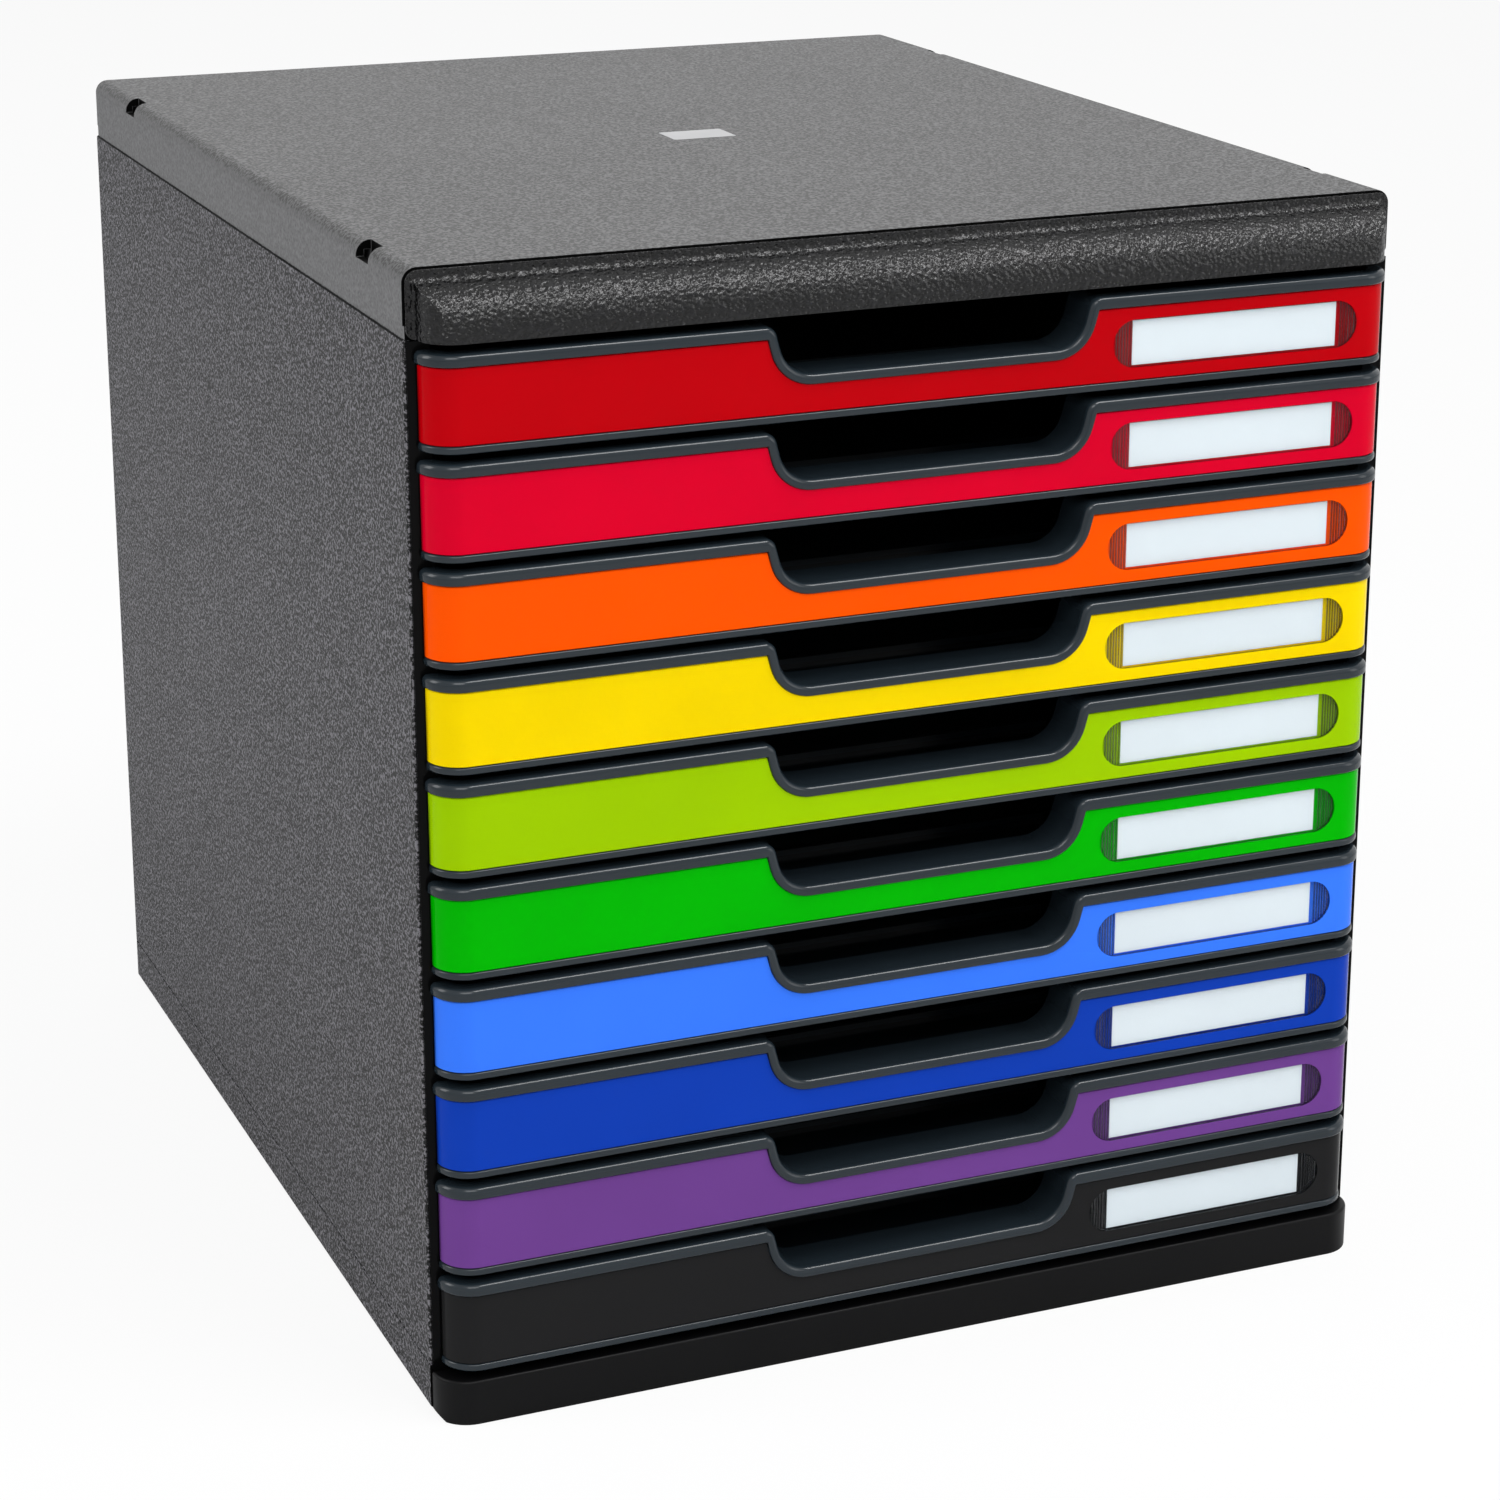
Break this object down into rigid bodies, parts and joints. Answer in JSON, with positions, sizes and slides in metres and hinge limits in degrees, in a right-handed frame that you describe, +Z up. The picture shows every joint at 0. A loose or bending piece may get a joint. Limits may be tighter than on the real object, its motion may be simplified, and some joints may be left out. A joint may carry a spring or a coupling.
{
  "type": "desktop drawer organizer",
  "caption": "Desktop cabinet of shallow paper drawers with coloured fronts, finger notches and label windows, sliding in a black moulded shell.",
  "frame": {"origin": "on the table, under the middle of the organizer's bounding box", "axes": "+Z up, +X to the right seen from the front, drawers open towards -Y"},
  "size_m": [0.288, 0.35, 0.32],
  "materials": {
    "grained_charcoal": "fine grained moulding, matte",
    "grained_gloss_black": "leather grain, glossy",
    "smooth_black": "smooth, satin",
    "runner_black": "smooth, glossy",
    "badge_grey": "bare satin plate",
    "tray_slate": "smooth moulding, soft gloss",
    "label_white": "white card",
    "label_clear": "clear, ribbed at its ends",
    "front_dark_red": "smooth, high gloss",
    "front_crimson": "smooth, high gloss",
    "front_orange": "smooth, high gloss",
    "front_yellow": "smooth, high gloss",
    "front_lime": "smooth, high gloss",
    "front_green": "smooth, high gloss",
    "front_light_blue": "smooth, high gloss",
    "front_dark_blue": "smooth, high gloss",
    "front_purple": "smooth, high gloss",
    "front_black": "smooth, high gloss"
  },
  "bodies": {
    "cabinet": {"top_cover": "grained_charcoal", "cover_fascia": "grained_gloss_black", "badge_plate": "badge_grey", "base": "grained_charcoal", "base_front_rail": "smooth_black", "left_side_panel": "grained_charcoal", "right_side_panel": "grained_charcoal", "back_panel": "grained_charcoal", "left_runner_rack": "runner_black", "right_runner_rack": "runner_black"},
    "drawer_01": {"drawer_01_tray": "tray_slate", "drawer_01_front_plate": "front_dark_red", "drawer_01_label_card": "label_white", "drawer_01_label_window": "label_clear"},
    "drawer_02": {"drawer_02_tray": "tray_slate", "drawer_02_front_plate": "front_crimson", "drawer_02_label_card": "label_white", "drawer_02_label_window": "label_clear"},
    "drawer_03": {"drawer_03_tray": "tray_slate", "drawer_03_front_plate": "front_orange", "drawer_03_label_card": "label_white", "drawer_03_label_window": "label_clear"},
    "drawer_04": {"drawer_04_tray": "tray_slate", "drawer_04_front_plate": "front_yellow", "drawer_04_label_card": "label_white", "drawer_04_label_window": "label_clear"},
    "drawer_05": {"drawer_05_tray": "tray_slate", "drawer_05_front_plate": "front_lime", "drawer_05_label_card": "label_white", "drawer_05_label_window": "label_clear"},
    "drawer_06": {"drawer_06_tray": "tray_slate", "drawer_06_front_plate": "front_green", "drawer_06_label_card": "label_white", "drawer_06_label_window": "label_clear"},
    "drawer_07": {"drawer_07_tray": "tray_slate", "drawer_07_front_plate": "front_light_blue", "drawer_07_label_card": "label_white", "drawer_07_label_window": "label_clear"},
    "drawer_08": {"drawer_08_tray": "tray_slate", "drawer_08_front_plate": "front_dark_blue", "drawer_08_label_card": "label_white", "drawer_08_label_window": "label_clear"},
    "drawer_09": {"drawer_09_tray": "tray_slate", "drawer_09_front_plate": "front_purple", "drawer_09_label_card": "label_white", "drawer_09_label_window": "label_clear"},
    "drawer_10": {"drawer_10_tray": "tray_slate", "drawer_10_front_plate": "front_black", "drawer_10_label_card": "label_white", "drawer_10_label_window": "label_clear"}
  },
  "joints": [
    {"name": "drawer_01_slide", "type": "slide", "parent": "cabinet", "child": "drawer_01", "axis": [0, -1, 0], "range_m": [0, 0.2247]},
    {"name": "drawer_02_slide", "type": "slide", "parent": "cabinet", "child": "drawer_02", "axis": [0, -1, 0], "range_m": [0, 0.2247]},
    {"name": "drawer_03_slide", "type": "slide", "parent": "cabinet", "child": "drawer_03", "axis": [0, -1, 0], "range_m": [0, 0.2247]},
    {"name": "drawer_04_slide", "type": "slide", "parent": "cabinet", "child": "drawer_04", "axis": [0, -1, 0], "range_m": [0, 0.2247]},
    {"name": "drawer_05_slide", "type": "slide", "parent": "cabinet", "child": "drawer_05", "axis": [0, -1, 0], "range_m": [0, 0.2247]},
    {"name": "drawer_06_slide", "type": "slide", "parent": "cabinet", "child": "drawer_06", "axis": [0, -1, 0], "range_m": [0, 0.2247]},
    {"name": "drawer_07_slide", "type": "slide", "parent": "cabinet", "child": "drawer_07", "axis": [0, -1, 0], "range_m": [0, 0.2247]},
    {"name": "drawer_08_slide", "type": "slide", "parent": "cabinet", "child": "drawer_08", "axis": [0, -1, 0], "range_m": [0, 0.2247]},
    {"name": "drawer_09_slide", "type": "slide", "parent": "cabinet", "child": "drawer_09", "axis": [0, -1, 0], "range_m": [0, 0.2247]},
    {"name": "drawer_10_slide", "type": "slide", "parent": "cabinet", "child": "drawer_10", "axis": [0, -1, 0], "range_m": [0, 0.2247]}
  ]
}
